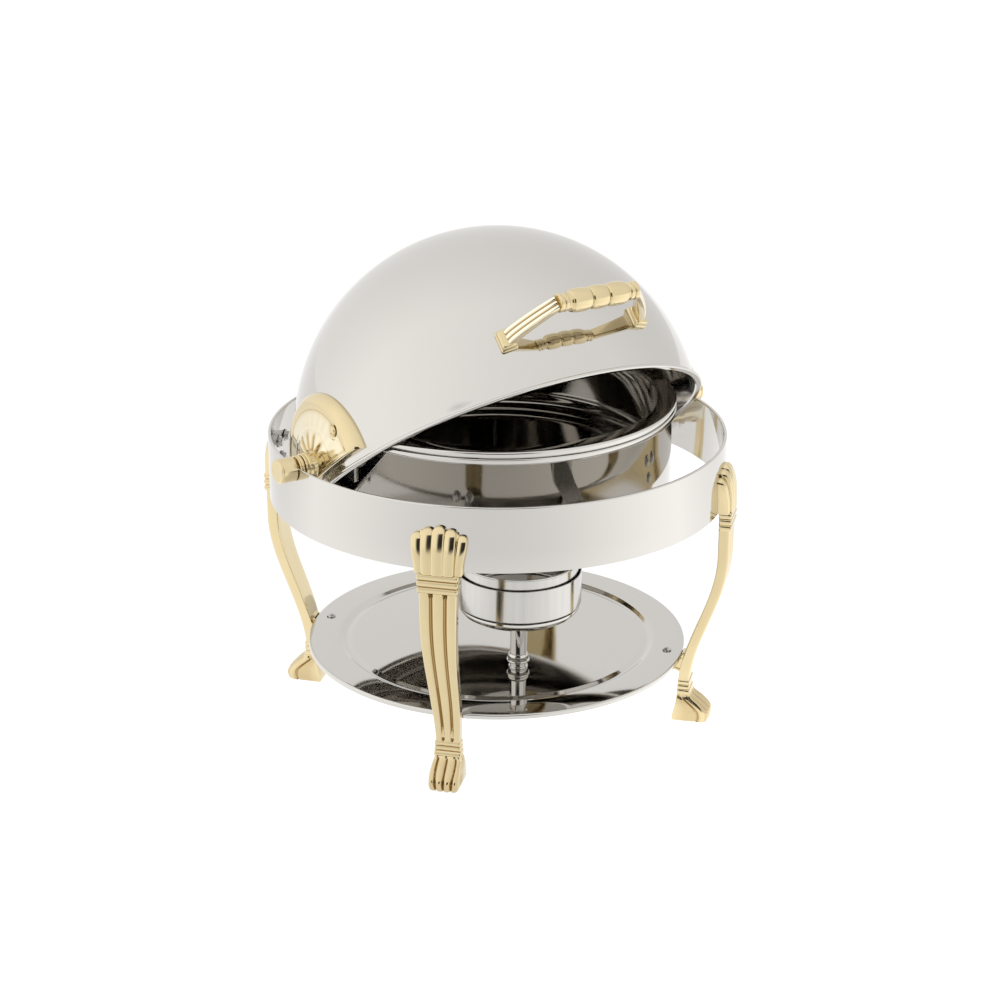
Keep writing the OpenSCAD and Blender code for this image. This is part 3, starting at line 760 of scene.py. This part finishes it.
# -------- pivots
def make_pivots():
    """The turned knobs on the pivots' ends and the grooved bushes behind them."""
    knob = rounded([
        (0, KNOB_START, 0), (KNOB_R - 0.6, KNOB_START, 0.3), (KNOB_R, KNOB_START + 0.6, 0.3),
        (KNOB_R, KNOB_END - 3.2, 0.4), (KNOB_R - 0.5, KNOB_END - 2.9, 0.2), (KNOB_R, KNOB_END - 2.5, 0.3),
        (KNOB_R - 0.1, KNOB_END - 1.2, 0.5), (KNOB_R - 1.4, KNOB_END, 0.5), (KNOB_R - 3, KNOB_END, 0.2),
        (KNOB_R - 3.3, KNOB_END - 0.35, 0.2), (0, KNOB_END - 0.2, 0)], 15)
    for side, name in SIDES:
        build(f"knob_{name}_turned", placed(at_pivot[side], spin(knob, 96, "x")),
              f"knob_{name}", BRASS, [f"pivot_knob_{name}"])
        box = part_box("pivot_bush_" + name)
        start = min(abs(box[0].x), abs(box[1].x)) / MM
        end = max(abs(box[0].x), abs(box[1].x)) / MM
        bush = rounded([
            (4.05, start, 0.3), (8, start, 0.4), (8, end - 5.4, 0), (12, end - 5.4, 0.8),
            (12, end - 3.2, 0.5), (11.2, end - 2.6, 0.3), (12, end - 2, 0.5), (12, end, 0.6),
            (4.05, end, 0.3)], 15)
        build(f"bush_{name}_turned", placed(at_pivot[side], spin(bush, 80, "x")), "stand", BRASS,
              [f"pivot_bush_{name}"])


# -------- pans
def pan_section(r, bottom, top, t, corner, count, straight, flange, hem, drop, rounds):
    """A pan with a rounded floor corner, and a flange whose outer edge is turned down."""
    throat, under, inside, outside, crown, mouth = rounds
    section = [(0, bottom)] + arc(r - corner, bottom + corner, corner, -90, 0, count)
    section += rounded([
        (r, top - straight, 0), (r, top - flange, throat), (RIM_R - hem, top - flange, under),
        (RIM_R - hem, top - drop, inside), (RIM_R, top - drop, outside), (RIM_R, top, crown),
        (r - t, top, mouth), (r - t, top - straight, 0)])
    return section + arc(r - corner, bottom + corner, corner - t, 0, -90, count) + [(0, bottom + t)]


def make_pans():
    """The water pan and the food pan that hangs in it."""
    water = pan_section(WATER_R, WATER_LOW, WATER_TOP, t=1.0, corner=28, count=15, straight=30,
                        flange=1.8, hem=2.6, drop=6, rounds=(0.5, 0.5, 0.9, 1.1, 1.6, 1.4))
    build("water_pan_shell", spin(water, 320), "stand", STEEL, ["water_pan"])
    food = pan_section(FOOD_R, FOOD_LOW, FOOD_TOP, t=0.9, corner=20, count=13, straight=20,
                       flange=1.4, hem=3, drop=6.6, rounds=(1.6, 0.6, 0.9, 1.2, 2.4, 2.4))
    build("food_pan_shell", spin(food, 320), "food_insert", STEEL, ["food_pan"])


# -------- lid
# The fan is a disc centred at level FAN_LOW, cut off level at FAN_BASE, with a bulging front.
FAN_R, FAN_LOW, FAN_BASE, FAN_FACE, FAN_FACE_R = 76, -9, -15, 209, 309
FAN_BEVEL, FAN_BEVEL_H = 14, 10.5
FAN_SCREW_Y, FAN_SCREW_Z, FAN_SCREW_X = 55, 13, 205.2
HUB_R, HUB_END = 13, 221
# Its ornament: petals that fade out round the hub, a thin ring round them, faint ribs beyond it,
# and a raised ring round the seat of each screw, which is sunk at +Y and level at -Y.
PETALS, RAYS_END, HALO_R, RIBS = 6.5, (27, 35), 37.5, 26
SCREW_RING_R, SCREW_SEAT, SEAT_LINE_R = 7.3, (5.4, 6.2), 5.6


def make_dome():
    """The domed shell, with a rolled lip round its rim."""
    inner = DOME_R - DOME_T
    outer_angle = math.degrees(math.asin((-RIM_DROP + LIP_H + 2.4) / DOME_R))
    inner_angle = math.degrees(math.asin((-RIM_DROP + 1.4) / inner))
    section = arc(0, 0, DOME_R, 90, outer_angle, 110)
    root = section[-1][0]
    section += rounded([
        (root - 0.05, -RIM_DROP + LIP_H + 1.6, 0), (root, -RIM_DROP + LIP_H - 0.2, 1.4),
        (LIP_R - 1.2, -RIM_DROP + LIP_H - 0.3, 1.0), (LIP_R, -RIM_DROP + LIP_H - 1.2, 1.0),
        (LIP_R, -RIM_DROP + 0.9, 1.0), (LIP_R - 1.4, -RIM_DROP, 0.9),
        (root - DOME_T + 0.6, -RIM_DROP, 0.8), (root - DOME_T, -RIM_DROP + 1, 0)])
    section += arc(0, 0, inner, inner_angle, 90, 110)
    section[0], section[-1] = (0, DOME_R), (0, inner)
    build("dome", placed(at_lid, spin(section, 320)), "lid", STEEL, ["lid_dome"], 40)


def fan_face(y, z):
    """Height of the fan's front over the pivot plane, and its painted shade there, or its painted highlight below
    zero.
    """
    r = math.hypot(y, z)
    phi = math.atan2(z, y)
    out = min(FAN_R, math.hypot(y, z - FAN_LOW))
    flat = min(out, FAN_R - FAN_BEVEL)
    x = FAN_FACE - FAN_FACE_R + math.sqrt(FAN_FACE_R ** 2 - flat * flat)
    x -= FAN_BEVEL_H * (1 - math.sqrt(max(0.0, 1 - ((out - flat) / FAN_BEVEL) ** 2)))
    foot = max(0.0, 1 - (z - FAN_BASE) / 2.6)
    x -= 2.2 * (1 - math.sqrt(max(0.0, 1 - foot ** 2)))
    inset = min(FAN_R - FAN_BEVEL - out, z - FAN_BASE - 4.6)
    seam = math.exp(-((inset - 0.6) / 0.8) ** 2)
    rays = float(smooth(HUB_R, HUB_R + 3, r) * (1 - smooth(*RAYS_END, r))) * float(smooth(-3, 5, z))
    petal = abs(math.sin(phi * PETALS + math.pi / 4))
    ray = rays * (1.9 * petal ** 0.7 - 0.5)
    halo = 0.5 * math.exp(-((r - HALO_R) / 1.0) ** 2) * float(smooth(-2, 6, z))
    d = math.hypot(abs(y) - FAN_SCREW_Y, z - FAN_SCREW_Z)
    ring = 1.1 * math.exp(-((d - SCREW_RING_R) / 0.9) ** 2)
    if d < SCREW_SEAT[1]:
        ring = -0.9 * (1 - float(smooth(*SCREW_SEAT, d))) if y > 0 else 0.0
    ribs = 0.10 * math.cos(phi * RIBS) * float(smooth(32, 44, r)) * float(smooth(0, 6, inset))
    # Painted shade between the petals, along the seam and in a line round each screw seat.
    dark = 0.9 * rays * (1 - petal) ** 1.5 + 0.45 * seam
    dark += 0.5 * math.exp(-((d - SEAT_LINE_R) / 0.8) ** 2)
    # Painted highlight over the fan's inner face, kept off the shaded places.
    painted_highlight = 0.42 * float(smooth(HUB_R + 2, HUB_R + 14, r))
    painted_highlight *= float(1 - smooth(-7, 2.5, out - FAN_R + FAN_BEVEL))
    return x - 0.3 * seam + ray + halo + ring + ribs, dark - painted_highlight * max(0.0, 1 - 2 * dark)


def fan_reach(a):
    """Distance from the pivot to the fan's outline, at angle a."""
    edge = FAN_LOW * math.sin(a) + math.sqrt(FAN_R ** 2 - (FAN_LOW * math.cos(a)) ** 2)
    return min(edge, FAN_BASE / math.sin(a)) if math.sin(a) < -1e-9 else edge


def on_dome(r):
    """Height over the pivot plane of a skin just off the dome, at distance r from the pivot."""
    return math.sqrt((DOME_R + 0.15) ** 2 - r * r)


def fan_front(y, z, r):
    """Height and painted shade value of a point of the fan's front, raised to the hub in the middle."""
    x, dark = fan_face(y, z)
    hub = float(1 - smooth(HUB_R - 0.5, HUB_R + 0.4, r))
    return x + (HUB_END - 4 - x) * hub, dark


def fan_edge(y, z, r, lift):
    """Height of a point down the fan's edge, from its front at lift 0 to the dome at 1."""
    top = fan_face(y, z)[0]
    return top + (min(on_dome(r), top - 0.1) - top) * lift


def fan_casting():
    """The fan as a closed loft: out over its front, down its edge, and back along the dome."""
    corner = math.sqrt(FAN_R ** 2 - (FAN_BASE - FAN_LOW) ** 2)
    base_angle = math.atan2(-FAN_BASE, corner)
    angles = np.concatenate([
        np.linspace(-base_angle, math.pi + base_angle, 181)[:-1],
        np.linspace(math.pi + base_angle, 2 * math.pi - base_angle, 61)[:-1]])
    core = HUB_R * 0.7
    rows, painted_values = [], []

    def add_row(radius, place):
        """One loop round the pivot; place gives a point's height and its painted shade value."""
        row = []
        for a in angles:
            r = radius(fan_reach(a))
            y, z = r * math.cos(a), r * math.sin(a)
            x, dark = place(y, z, r)
            row.append((x, y, z))
            painted_values.append(dark)
        rows.append(row)

    rim_shares = 0.8 + 0.2 * np.sin(np.linspace(0, math.pi / 2, 25)[1:])
    for share in np.concatenate([np.linspace(0, 0.8, 48), rim_shares]):
        add_row(lambda reach: core + (reach - core) * share, fan_front)
    for lift in (0.5, 1.0):
        # Painted shade that grows down the edge towards the dome.
        add_row(lambda reach: reach, lambda y, z, r: (fan_edge(y, z, r, lift), 0.15 * lift))
    for share in (0.75, 0.5, 0.25, 0.05):
        add_row(lambda reach: reach * share + core * (1 - share), lambda y, z, r: (on_dome(r), 0))
    return loft(rows), painted_values


def make_fans():
    """Both fans with their grooved hubs, their screws and the nuts inside the dome."""
    solid, painted_values = fan_casting()
    bore, hub_start, neck = 8.05, 205, HUB_R - 0.8
    hub = spin(rounded([
        (bore, hub_start, 0), (HUB_R, hub_start, 0), (HUB_R, HUB_END - 4.6, 0.4), (neck, HUB_END - 4, 0.3),
        (neck, HUB_END - 3, 0.3), (HUB_R, HUB_END - 2.4, 0.4), (HUB_R, HUB_END, 0.9),
        (bore, HUB_END, 0.3)], 15), 72, "x")
    head = spin([(0, -1.6), (5.0, -1.6), (5.1, -0.2), (4.7, 0.5)] + arc(0, -3.4, 5.2, 48, 78, 5)
                + [(0.8, 1.55), (0.4, 1.2), (0, 1.15)], 40, "x")
    nut = hex_head(4, 3.2, "x")
    inner = math.sqrt((DOME_R - DOME_T) ** 2 - (FAN_SCREW_Y + 6) ** 2 - FAN_SCREW_Z ** 2)
    heads, nuts = [], []
    for side, name in SIDES:
        place = at_lid @ FACING[side]
        body = placed(place, solid)
        piece = raw_object(f"fan_{name}", body)
        painted_light_of_body(piece, body, painted_values)
        finish_piece(piece, "lid", BRASS, [f"lid_fan_{name}"], 45)
        boss = raw_object(f"fan_{name}_hub", placed(place, hub))
        finish_piece(boss, "lid", BRASS, [f"lid_fan_{name}"])
        for y in (-FAN_SCREW_Y, FAN_SCREW_Y):
            heads.append(placed(place @ shift(FAN_SCREW_X, y, FAN_SCREW_Z), head))
            nuts.append(placed(place @ shift(inner - 0.2, y, FAN_SCREW_Z) @ MIRROR, nut))
    build("fan_screw_heads", joined(*heads), "lid", BRASS, ["fan_screws"])
    build("fan_screw_nuts", joined(*nuts), "lid", SATIN, ["fan_nuts"])


# -------- handle
HANDLE_TILT, FOOT_ANGLE, FOOT_TOP, GRIP_Y, GRIP_HALF = 8, 20.8, 211, 248, 43
BEAD_ENDS = (-30.5, -9.2, 9.2, 30.5)
ARM_STEPS = 25
at_handle = at_lid @ rotate(-HANDLE_TILT, "X")


def foot_solid():
    """A cushion-shaped pad standing on the dome, with a thin flange round its base."""
    loops = []
    for out, half_w, half_h, soft in (
            (0.25, 8.3, 10.8, 2.4), (0.8, 8.5, 11, 2.6), (2.0, 8.5, 11, 2.6), (2.6, 8.1, 10.6, 2.6),
            (2.9, 7.4, 10.0, 2.4), (4.0, 7.3, 9.9, 2.6), (6.0, 7.3, 9.8, 3.0), (7.0, 6.9, 9.4, 3.2),
            (7.7, 6.1, 8.6, 3.2), (7.95, 4.8, 7.3, 3)):
        outline = rounded([(-half_w, -half_h, soft), (half_w, -half_h, soft), (half_w, half_h, soft),
                           (-half_w, half_h, soft)], 10)
        ring = []
        for x, z in outline:
            skin = math.sqrt((DOME_R + 0.1) ** 2 - x * x - z * z)
            share = min(1.0, out / 2.9)
            base = skin + out
            flat = DOME_R + out
            ring.append((x, -(base * (1 - share) + flat * share), z))
        loops.append(ring)
    return loft(loops)


def arm_solid():
    """A strap with three ridges along its outer face, swept from the foot to the grip."""
    foot = rotate(FOOT_ANGLE, "Z") @ Vector((-3, 1.5 - FOOT_TOP, 0))
    lead = rotate(FOOT_ANGLE, "Z") @ Vector((-6.5, -FOOT_TOP - 7, 0))
    tip = Vector((GRIP_HALF - 0.6, -GRIP_Y, 0))
    before = Vector((GRIP_HALF + 6.5, -GRIP_Y + 5.2, 0))
    path = []
    for t in np.linspace(0, 1, ARM_STEPS + 1):
        point = foot * (1 - t) ** 3 + lead * 3 * t * (1 - t) ** 2
        path.append(point + before * 3 * t * t * (1 - t) + tip * t ** 3)
    loops, painted_values = [], []
    across = np.linspace(-1, 1, 37)
    for i, point in enumerate(path):
        ahead = (path[min(i + 1, ARM_STEPS)] - path[max(i - 1, 0)]).normalized()
        out = Vector((-ahead.y, ahead.x, 0))
        if out.y > 0:
            out = -out
        t = i / ARM_STEPS
        half_h = 8 - 1.2 * t
        half_t = 4.4 - 0.5 * t
        loop = []
        for s in across:
            ridge = abs(math.cos(s * 1.5 * math.pi))
            edge = 1 - math.sqrt(max(0.0, 1 - max(0.0, (abs(s) - 0.84) / 0.16) ** 2))
            lift = half_t - 1.3 * (1 - ridge ** 0.6) - 1.8 * edge
            loop.append(point + out * lift + Vector((0, 0, s * half_h)))
            # Painted shade in the valleys between the ridges, painted highlight on the ridges and along the edges.
            painted_values.append(0.8 * (1 - ridge) ** 3 - 0.9 * ridge ** 2 if abs(s) < 0.9 else -0.4)
        for s in (0.97, 0.6, 0, -0.6, -0.97):
            loop.append(point - out * (half_t - 0.8 * abs(s) ** 4) + Vector((0, 0, s * half_h)))
            painted_values.append(0)
        loops.append([tuple(p) for p in loop])
    return loft(loops), painted_values


def grip_solid():
    """A bar of three long beads between two turned ends."""
    end = [(0, -GRIP_HALF)] + rounded([
        (7.2, -GRIP_HALF - 0.01, 0), (8.8, -GRIP_HALF, 1), (8.8, -GRIP_HALF + 3.6, 1),
        (7.4, -GRIP_HALF + 4.4, 0.3), (8.6, -GRIP_HALF + 5.2, 0.8), (8.6, -GRIP_HALF + 8.6, 0.8),
        (7.4, -GRIP_HALF + 9.4, 0.6), (7.4, -GRIP_HALF + 12.4, 0)], 20)[:-1]
    beads = []
    for a, b in zip(BEAD_ENDS[:-1], BEAD_ENDS[1:]):
        middle, half = (a + b) / 2, (b - a) / 2
        for q in np.linspace(0.06, math.pi - 0.06, 29):
            beads.append((8.3 + 3.0 * math.sin(q) ** 0.62, middle - half * math.cos(q)))
    return spin(end + beads + [(r, -h) for r, h in end[::-1]], 96, "x")


def make_handle():
    """Two feet on the dome, an arm from each, the beaded grip and the screws inside the dome."""
    foot, (arm, arm_painted_values), grip = foot_solid(), arm_solid(), grip_solid()
    screws = []
    for side, name in SIDES:
        at_foot = at_handle @ rotate(FOOT_ANGLE * side, "Z")
        build(f"handle_{name}_foot", placed(at_foot, foot), "lid", BRASS, [f"handle_foot_{name}"], 40)
        body = placed(at_handle @ FACING[side], arm)
        piece = raw_object(f"handle_{name}_arm", body)
        painted_light_of_body(piece, body, arm_painted_values)
        finish_piece(piece, "lid", BRASS, [f"handle_arm_{name}"], 45)
        inward = at_foot @ rotate(-90, "X") @ shift(0, 0, -(DOME_R - DOME_T - 0.4))
        screws.append(placed(inward, hex_head(4.8, 3)))
    build("handle_bead_grip", placed(at_handle @ shift(0, -GRIP_Y, 0), grip), "lid", BRASS,
          ["handle_grip"], 40)
    build("handle_screw_heads", joined(*screws), "lid", SATIN, ["handle_screws"])


# -------- studio and camera
AZIMUTH, ELEVATION, ROLL = -31.8, 20.85, 0.3
DISTANCE, AIM_Z, AIM_RIGHT = 2.4237, 0.2182, 0.0028
LENS = 86.157
RIGHT = Vector((math.cos(math.radians(AZIMUTH)), math.sin(math.radians(AZIMUTH)), 0))


def back_vector(elevation):
    """Unit vector from the object towards the camera's side, at this elevation."""
    a, e = math.radians(AZIMUTH), math.radians(elevation)
    return Vector((math.sin(a) * math.cos(e), -math.cos(a) * math.cos(e), math.sin(e)))


def make_camera():
    camera = bpy.data.objects.new("camera", bpy.data.cameras.new("camera"))
    bpy.context.scene.collection.objects.link(camera)
    camera.data.lens, camera.data.sensor_width = LENS, 36
    back = back_vector(ELEVATION)
    aim = Vector((0, 0, AIM_Z)) + RIGHT * AIM_RIGHT
    look = (-back).to_track_quat("-Z", "Y").to_matrix().to_4x4()
    camera.matrix_world = Matrix.Translation(aim + back * DISTANCE) @ look @ rotate(ROLL, "Z")
    camera.data.clip_start, camera.data.clip_end = 0.05, 100
    bpy.context.scene.camera = camera


def make_world():
    """An even white tent, a little brighter at the left and duller behind."""
    world = bpy.data.worlds.new("tent")
    bpy.context.scene.world = world
    world.use_nodes = True
    tree = world.node_tree
    background = tree.nodes["Background"]
    direction = tree.nodes.new("ShaderNodeTexCoord").outputs["Generated"]
    level, bow, slope, dimming = 1.16, 0.03, -0.13, -0.21
    across = vector_maths(tree, "DOT_PRODUCT", direction, RIGHT)
    side = plus(tree, times(tree, times(tree, across, across), bow), times(tree, across, slope))
    away = number_maths(tree, "MAXIMUM", vector_maths(tree, "DOT_PRODUCT", direction, -back_vector(0)), 0)
    uneven = plus(tree, side, times(tree, away, dimming))
    tree.links.new(plus(tree, uneven, level), background.inputs["Strength"])
    background.inputs["Color"].default_value = (1.0, 0.995, 0.99, 1)


def make_camera_opening():
    """A soft-edged dark opening in the tent round the camera, which only reflections see."""
    distance, half_width, steps = 2.6, 1.6, 25
    level, lowest, highest = 0.25, -8, 35
    bottom, top = [distance * math.tan(math.radians(e)) + level for e in (lowest, highest)]
    shares = np.linspace(-1, 1, steps)
    verts, fade = [], []
    for up in shares:
        for side in shares:
            height = Vector((0, 0, (top + bottom + (top - bottom) * up) / 2))
            verts.append(tuple(back_vector(0) * distance + RIGHT * side * half_width + height))
            fade.append(float((1 - smooth(0.6, 1, abs(up))) * (1 - smooth(0.45, 1, abs(side)))))
    faces = [[k, k + 1, k + steps + 1, k + steps]
             for row in range(steps - 1) for k in range(row * steps, row * steps + steps - 1)]
    mesh = bpy.data.meshes.new("camera_opening")
    mesh.from_pydata(verts, [], faces)
    mesh.attributes.new("fade", "FLOAT", "POINT").data.foreach_set("value", fade)
    card = bpy.data.objects.new("camera_opening", mesh)
    bpy.context.scene.collection.objects.link(card)
    material, tree, surface = shader("camera_opening", (0, 0, 0), 1)
    surface.inputs["Emission Color"].default_value = (0.03, 0.032, 0.036, 1)
    surface.inputs["Emission Strength"].default_value = 1
    surface.inputs["Specular IOR Level"].default_value = 0
    share = tree.nodes.new("ShaderNodeAttribute")
    share.attribute_name = "fade"
    tree.links.new(share.outputs["Fac"], surface.inputs["Alpha"])
    mesh.materials.append(material)
    card.visible_camera = card.visible_diffuse = card.visible_shadow = card.visible_transmission = False


def make_floor():
    """The pale floor, which glows like the bottom of the tent and holds no hard shadow."""
    radius, depth = 9000, 5
    floor = raw_object("floor", spin([(0, 0), (radius, 0), (radius, -depth), (0, -depth)], 96))
    material, tree, surface = shader("floor", (0.10, 0.10, 0.10), 0.9)
    surface.inputs["Specular IOR Level"].default_value = 0
    place = tree.nodes.new("ShaderNodeTexCoord").outputs["Object"]
    outward = vector_maths(tree, "NORMALIZE", place, result="Vector")
    far = remap(tree, vector_maths(tree, "LENGTH", place), (0.62, 0.8), (0, 1))
    across = vector_maths(tree, "DOT_PRODUCT", outward, RIGHT)
    ahead = vector_maths(tree, "DOT_PRODUCT", outward, back_vector(0))
    square = times(tree, across, across)
    behind = number_maths(tree, "MAXIMUM", times(tree, ahead, -1), 0)
    front = number_maths(tree, "MAXIMUM", ahead, 0)
    level, slope, bow, behind_dip, front_dip = 0.99, 0.08, 0.32, -0.5, -0.1
    glow = plus(tree, times(tree, across, slope), times(tree, square, bow))
    glow = plus(tree, glow, times(tree, times(tree, behind, square), behind_dip))
    glow = plus(tree, glow, times(tree, times(tree, front, far), front_dip))
    surface.inputs["Emission Color"].default_value = (1, 0.997, 0.99, 1)
    tree.links.new(plus(tree, glow, level), surface.inputs["Emission Strength"])
    floor.data.materials.append(material)


def dress_plain_nodes():
    """CAD nodes that stay as they are get the same finishes."""
    shown = {row["node"]: row["material_slot"] for row in frame["record"]["subparts"]}
    for node in ("post_screw", "holder_spacer", "holder_screw", "pivot_stud_left", "pivot_stud_right",
                 "pivot_washers", "pan_trunnion_left", "pan_trunnion_right", "pan_bracket"):
        for slot in frame["nodes"][node].material_slots:
            slot.material = materials[shown[node]]


make_ring()
make_legs()
make_leg_bolts()
make_tray()
make_post()
make_saucer()
make_fuel_holder()
make_pivots()
make_pans()
make_dome()
make_fans()
make_handle()
dress_plain_nodes()
make_camera()
make_world()
make_floor()
make_camera_opening()

scene = bpy.context.scene
scene.view_settings.view_transform = "Standard"
scene.cycles.max_bounces = 16
scene.cycles.glossy_bounces = 12
